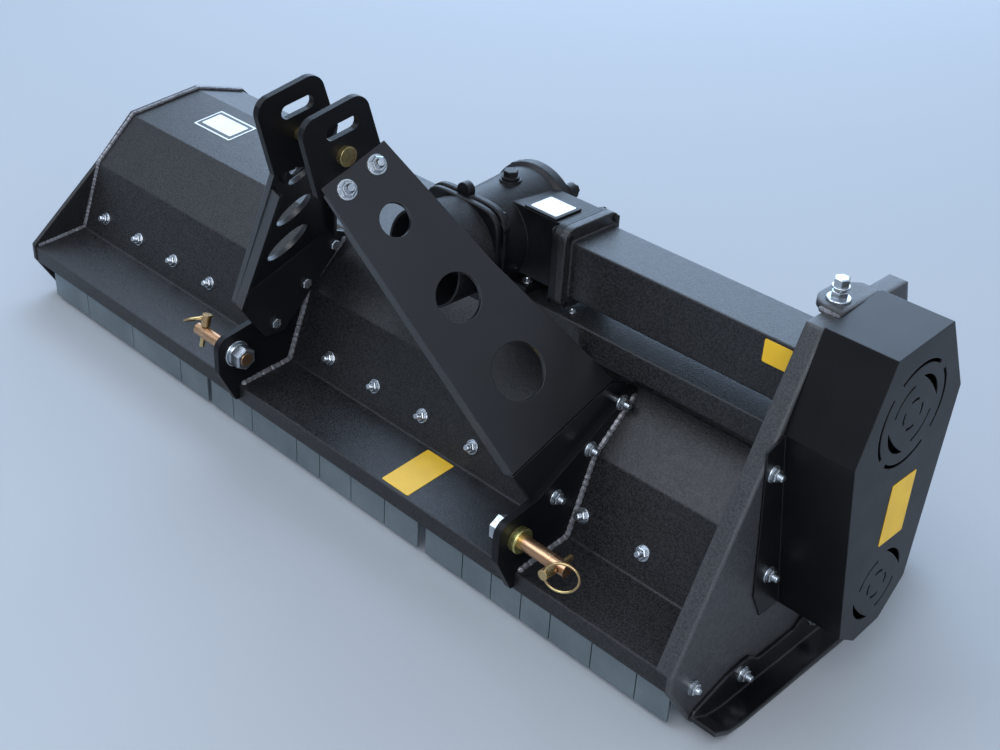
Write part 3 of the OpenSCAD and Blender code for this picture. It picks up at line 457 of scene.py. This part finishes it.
def front_flange(bm):
    """Square plates with rounded corners and a round hole."""
    for half, hole, front, back in FLANGE_LAYERS:
        loops = [(half - FLANGE_EDGE, front, SQUARE_POWER), (half, front + FLANGE_EDGE, SQUARE_POWER),
                 (half, back - FLANGE_EDGE, SQUARE_POWER), (half - FLANGE_EDGE, back, SQUARE_POWER),
                 (hole, back, ROUND_POWER), (hole, front, ROUND_POWER)]
        rings = []
        for size, y, power in loops:
            ring = []
            for i in range(FLANGE_POINTS):
                angle = 2 * math.pi * i / FLANGE_POINTS
                across, along = math.cos(angle), math.sin(angle)
                reach = size / (abs(across) ** power + abs(along) ** power) ** (1 / power)
                ring.append(bm.verts.new(at(GEAR_X + reach * across, y, DRIVE_Z + reach * along)))
            rings.append(ring)
        skin(bm, rings, closed=True)


add("front_flange", front_flange, "frame", "cast_black")

# Gearbox cover bolts, in the casting's black paint: each circle as radius and face
GEAR_CIRCLES = [(80, 140), (73, 294)]
GEAR_BOLTS, GEAR_START = 4, 45
GEAR_WASHER_R, GEAR_WASHER_H = 10, 2
GEAR_HEAD_R, GEAR_HEAD_H = 8, 6


def gearbox_bolts(bm):
    """Washers and heads on the lugs of the front and rear covers."""
    for radius, face in GEAR_CIRCLES:
        for i in range(GEAR_BOLTS):
            angle = math.radians(GEAR_START + 360 * i / GEAR_BOLTS)
            x = GEAR_X + radius * math.cos(angle)
            z = DRIVE_Z + radius * math.sin(angle)
            washer(bm, at(x, face, z), (0, 1, 0), GEAR_WASHER_R, GEAR_WASHER_H)
            hexagon(bm, at(x, face + GEAR_WASHER_H, z), (0, 1, 0), GEAR_HEAD_R, GEAR_HEAD_H)


add("gearbox_bolts", gearbox_bolts, "frame", "cast_black")

# Weld beads, in shares of a bead's radius
BEAD_SIDES, BEAD_STEP = 8, 0.55
BEAD_BODY, BEAD_RIPPLE, BEAD_RATE, BEAD_JITTER, BEAD_TIP = 0.78, 0.3, 0.9, 0.08, 0.5


def bead(bm, points, radius):
    """A rippled weld bead swept along a line of points."""
    path = []
    for a, b in zip(points, points[1:]):
        steps = max(2, int((b - a).length / (radius * BEAD_STEP)))
        path += [a.lerp(b, i / steps) for i in range(steps)]
    path.append(points[-1])
    rings = []
    for i, spot in enumerate(path):
        run = (path[min(i + 1, len(path) - 1)] - path[max(i - 1, 0)]).normalized()
        turn = Vector((0, 0, 1)).rotation_difference(run).to_matrix()
        ripple = BEAD_RIPPLE * abs(math.sin(i * BEAD_RATE))
        swell = radius * (BEAD_BODY + ripple + random.uniform(-BEAD_JITTER, BEAD_JITTER))
        if i in (0, len(path) - 1):
            swell = radius * BEAD_TIP
        angles = [2 * math.pi * k / BEAD_SIDES for k in range(BEAD_SIDES)]
        rings.append([bm.verts.new(spot + turn @ Vector((math.cos(a), math.sin(a), 0)) * swell)
                      for a in angles])
    skin(bm, rings)


def beads(bm, runs, radius):
    """One bead on each run of points."""
    for run in runs:
        bead(bm, run, radius)


WIDE_BEAD = 0.0052
MIDDLE_BEAD = WIDE_BEAD * 0.8
THIN_BEAD = WIDE_BEAD * 0.45
SEAM_OFF = 1
LUG_FACES = (LUG_IN - SEAM_OFF, LUG_OUT + SEAM_OFF)
LUG_SEAM = [(4, 106), (104, 116), (149, 238), (228, 308)]
END_SEAM = [(6, 106), (107, 116), (152, 240), (237, 319), (389, 337), (496, 308)]
BRACKET_Y, BRACKET_Z = 225, 562
BRACKET_SEAM = [at(x, BRACKET_Y, BRACKET_Z) for x in (588, 604, 619)]
TUBE_SEAM_X, TUBE_SEAM_HALF = 222.5, TUBE_HALF + 0.5
TUBE_CORNERS = [(-1, -1), (-1, 1), (1, 1), (1, -1), (-1, -1)]
TUBE_SEAM = [at(TUBE_SEAM_X, DRIVE_Y + sy * TUBE_SEAM_HALF, DRIVE_Z + sz * TUBE_SEAM_HALF)
             for sy, sz in TUBE_CORNERS]
WELDS = {
    "left_lug_weld": ([[at(-x, y, z) for y, z in LUG_SEAM] for x in LUG_FACES],
                      WIDE_BEAD, "headstock_black", "weld"),
    "right_lug_weld": ([[at(x, y, z) for y, z in LUG_SEAM] for x in LUG_FACES],
                       WIDE_BEAD, "headstock_black", "weld"),
    "left_end_weld": ([[at(LEFT_INNER + SEAM_OFF, y, z) for y, z in END_SEAM]],
                      MIDDLE_BEAD, "hammered_grey", "weld"),
    "bracket_weld": ([BRACKET_SEAM], MIDDLE_BEAD, "hammered_grey", "weld"),
    "tube_weld": ([TUBE_SEAM], THIN_BEAD, "hammered_grey", "hammered_grey"),
}
for name, (runs, radius, slot, look) in WELDS.items():
    add(name, lambda bm: beads(bm, runs, radius), "frame", look)

# Thin plates on flat faces
PATCH_CORNER, PATCH_STEPS, PATCH_SINK = 0.003, 4, 0.05


def patch(bm, corners, lift, radius=PATCH_CORNER):
    """A thin blank plate with rounded corners, from its corners and the face's outward direction."""
    outline = []
    count = len(corners)
    for i, corner in enumerate(corners):
        before = (corners[i - 1] - corner).normalized() * radius
        after = (corners[(i + 1) % count] - corner).normalized() * radius
        for k in range(PATCH_STEPS + 1):
            t = k / PATCH_STEPS
            outline.append(corner + before * (1 - t) ** 2 + after * t ** 2)
    low = [bm.verts.new(p + lift * PATCH_SINK) for p in outline]
    high = [bm.verts.new(p + lift) for p in outline]
    skin(bm, [low, high])


def rectangle(x0, x1, y0, y1):
    """Corners of an upright rectangle in a plane."""
    return ((x0, y0), (x1, y0), (x1, y1), (x0, y1))


# Painted shade: a plate that closes the shadowed gap between the beam and the hood's crown, so that the gap
# renders dark
GAP_SHADE_START, GAP_SHADE_Y, GAP_SHADE_FOOT = 18, 240, 316.4
GAP_SHADE_TOP = BEAM_TOP - BEAM_H
GAP_SHADE_LIFT = Vector((0, -0.004, 0))
GAP_SHADE_CORNER = 0.001


def gap_shade_plate(bm):
    """A plate below the beam standing in for the gap's shade, from under the gearbox to the right side
    plate.
    """
    outline = rectangle(GAP_SHADE_START, RIGHT_INNER, GAP_SHADE_FOOT, GAP_SHADE_TOP)
    patch(bm, [at(x, GAP_SHADE_Y, z) for x, z in outline], GAP_SHADE_LIFT, GAP_SHADE_CORNER)


add("gap_shade_plate", gap_shade_plate, "frame", "hammered_grey")

# Blank patches on the hood's crown and shelf, which are sloping faces, and on the tube, cover and gearbox
CROWN_Y, CROWN_Z, CROWN_RUN, CROWN_RISE = 237, 316, 152, 18
SHELF_Z, SHELF_RUN, SHELF_RISE = 104, 107, 10
NECK_TOP = 539
LIFT, SECOND_LAYER, THIRD_LAYER = 0.0006, 1.5, 2
RIM_LIFT, PLATE_LIFT = 0.003, 0.0038
UP = Vector((0, 0, 1))


def crown(y):
    """Height of the hood's crown at a depth."""
    return CROWN_Z + (y - CROWN_Y) * CROWN_RISE / CROWN_RUN


def shelf(y):
    """Height of the shelf at a depth."""
    return SHELF_Z + y * SHELF_RISE / SHELF_RUN


PATCHES = {
    "cover_patch": ([at(COVER_FACE, y, z) for y, z in rectangle(249, 306, 258, 356)],
                    Vector((LIFT, 0, 0)), "cover_grey", "patch_yellow"),
    "tube_patch": ([at(x, DRIVE_Y - TUBE_HALF, z) for x, z in rectangle(546, 588, 483, 516)],
                   Vector((0, -LIFT, 0)), "hammered_grey", "patch_yellow"),
    "shelf_patch": ([at(x, y, shelf(y)) for x, y in rectangle(36, 95, 6, 102)],
                    UP * LIFT, "hammered_grey", "patch_yellow"),
    "hood_plate": ([at(x, y, crown(y)) for x, y in rectangle(-845, -733, 296, 362)],
                   UP * LIFT, "hammered_grey", "patch_white"),
    "hood_plate_frame": ([at(x, y, crown(y)) for x, y in rectangle(-841, -737, 300, 358)],
                         UP * LIFT * SECOND_LAYER, "hammered_grey", "patch_black"),
    "hood_plate_face": ([at(x, y, crown(y)) for x, y in rectangle(-834, -744, 307, 351)],
                        UP * LIFT * THIRD_LAYER, "hammered_grey", "patch_white"),
    "gearbox_plate_rim": ([at(x, y, NECK_TOP) for x, y in rectangle(127, 188, 186, 240)],
                          UP * RIM_LIFT, "cast_black", "cast_black"),
    "gearbox_plate": ([at(x, y, NECK_TOP) for x, y in rectangle(134, 183, 191, 234)],
                      UP * PLATE_LIFT, "cast_black", "patch_white"),
}
for name, (corners, lift, slot, look) in PATCHES.items():
    add(name, lambda bm: patch(bm, corners, lift), "frame", look)

# Power take-off splines on the input shaft
SPLINES, SPLINE_Y = 6, 42
SPLINE_OUT = Matrix.Translation((0.0178, 0, 0))
SPLINE_SIZE = Matrix.Diagonal((0.004, 0.05, 0.0085, 1))


def splines(bm):
    """Bars around the shaft's free end."""
    middle = Matrix.Translation(at(GEAR_X, SPLINE_Y, DRIVE_Z))
    for i in range(SPLINES):
        turn = Matrix.Rotation(2 * math.pi * i / SPLINES, 4, "Y")
        bmesh.ops.create_cube(bm, size=1, matrix=middle @ turn @ SPLINE_OUT @ SPLINE_SIZE)


add("pto_splines", splines, "input", "shaft_steel")

# Pale floor
FLOOR_SIZE, FLOOR_DROP = 30, 0.0005
FLOOR_DARK, FLOOR_LIGHT = (0.30, 0.315, 0.335, 1), (0.345, 0.36, 0.38, 1)
FLOOR_SCALE, FLOOR_DETAIL, FLOOR_ROUGH = 3, 8, 0.85
floor_mat = bpy.data.materials.new("floor")
floor_mat.use_nodes = True
floor_tree = floor_mat.node_tree
floor_shader = floor_tree.nodes["Principled BSDF"]
floor_noise = floor_tree.nodes.new("ShaderNodeTexNoise")
floor_noise.inputs["Scale"].default_value = FLOOR_SCALE
floor_noise.inputs["Detail"].default_value = FLOOR_DETAIL
floor_ramp = floor_tree.nodes.new("ShaderNodeValToRGB")
floor_ramp.color_ramp.elements[0].color = FLOOR_DARK
floor_ramp.color_ramp.elements[1].color = FLOOR_LIGHT
floor_tree.links.new(floor_noise.outputs["Fac"], floor_ramp.inputs["Fac"])
floor_tree.links.new(floor_ramp.outputs["Color"], floor_shader.inputs["Base Color"])
floor_shader.inputs["Roughness"].default_value = FLOOR_ROUGH
bpy.ops.mesh.primitive_plane_add(size=FLOOR_SIZE, location=(0, 0, -FLOOR_DROP))
floor = bpy.context.object
floor.name = "floor"
floor.data.materials.append(floor_mat)

# Sky that brightens with height
SKY_TINT = (0.72, 0.84, 1.0)
SKY_LEVELS = [(0.0, 0.30), (0.5, 0.60), (0.72, 1.0), (1.0, 1.0)]
SKY_STRENGTH = 1.2
world = bpy.data.worlds.new("sky")
scene.world = world
world.use_nodes = True
sky_tree = world.node_tree
sky_coords = sky_tree.nodes.new("ShaderNodeTexCoord")
sky_height = sky_tree.nodes.new("ShaderNodeSeparateXYZ")
sky_ramp = sky_tree.nodes.new("ShaderNodeValToRGB")
sky_stops = sky_ramp.color_ramp.elements
for height, _ in SKY_LEVELS[1:-1]:
    sky_stops.new(height)
for stop, (height, level) in zip(sky_stops, SKY_LEVELS):
    stop.position = height
    stop.color = (*(level * tint for tint in SKY_TINT), 1)
sky_tree.links.new(sky_coords.outputs["Generated"], sky_height.inputs["Vector"])
sky_tree.links.new(sky_height.outputs["Z"], sky_ramp.inputs["Fac"])
sky_tree.links.new(sky_ramp.outputs["Color"], sky_tree.nodes["Background"].inputs["Color"])
sky_tree.nodes["Background"].inputs["Strength"].default_value = SKY_STRENGTH

# Square soft lamps aimed at the middle of the part, as place, size, power and colour
LAMPS = {
    "sky_back": ((-2.5, 3.5, 2.9), 5.0, 310, (0.52, 0.72, 1.0)),
    "sky_front": ((-1.5, -2.0, 3.2), 2.4, 62, (0.78, 0.86, 1.0)),
    "sky_right": ((3.4, -1.7, 1.3), 1.9, 42, (0.86, 0.91, 1.0)),
    "key": ((1.8, -2.6, 3.4), 2.5, 62, (1.0, 1.0, 1.0)),
}
AIM = Vector((0, 0, 0.3))
for name, (place, size, power, colour) in LAMPS.items():
    light = bpy.data.lights.new(name, "AREA")
    light.size = size
    light.energy = power
    light.color = colour
    lamp = bpy.data.objects.new(name, light)
    lamp.location = place
    lamp.rotation_euler = (AIM - Vector(place)).to_track_quat("-Z", "Y").to_euler()
    scene.collection.objects.link(lamp)

# Camera
CAMERA_PLACE = at(1342.6, -1150.8, 1388.8)
AZIMUTH, ELEVATION, ROLL = (math.radians(a) for a in (42.89, 32.02, 3.53))
FOCAL_PIXELS = 1417
IMAGE_WIDTH = 1000
SENSOR = 36.0
flat = math.cos(ELEVATION)
forward = Vector((-math.sin(AZIMUTH) * flat, math.cos(AZIMUTH) * flat, -math.sin(ELEVATION)))
level = Vector((math.cos(AZIMUTH), math.sin(AZIMUTH), 0))
rise = level.cross(forward)
right = level * math.cos(ROLL) + rise * math.sin(ROLL)
up = rise * math.cos(ROLL) - level * math.sin(ROLL)
lens = bpy.data.cameras.new("camera")
lens.sensor_fit = "HORIZONTAL"
lens.sensor_width = SENSOR
lens.lens = FOCAL_PIXELS * SENSOR / IMAGE_WIDTH
camera = bpy.data.objects.new("camera", lens)
camera.matrix_world = Matrix.Translation(CAMERA_PLACE) @ Matrix((right, up, -forward)).transposed().to_4x4()
scene.collection.objects.link(camera)
scene.camera = camera
scene.view_settings.view_transform = "Standard"
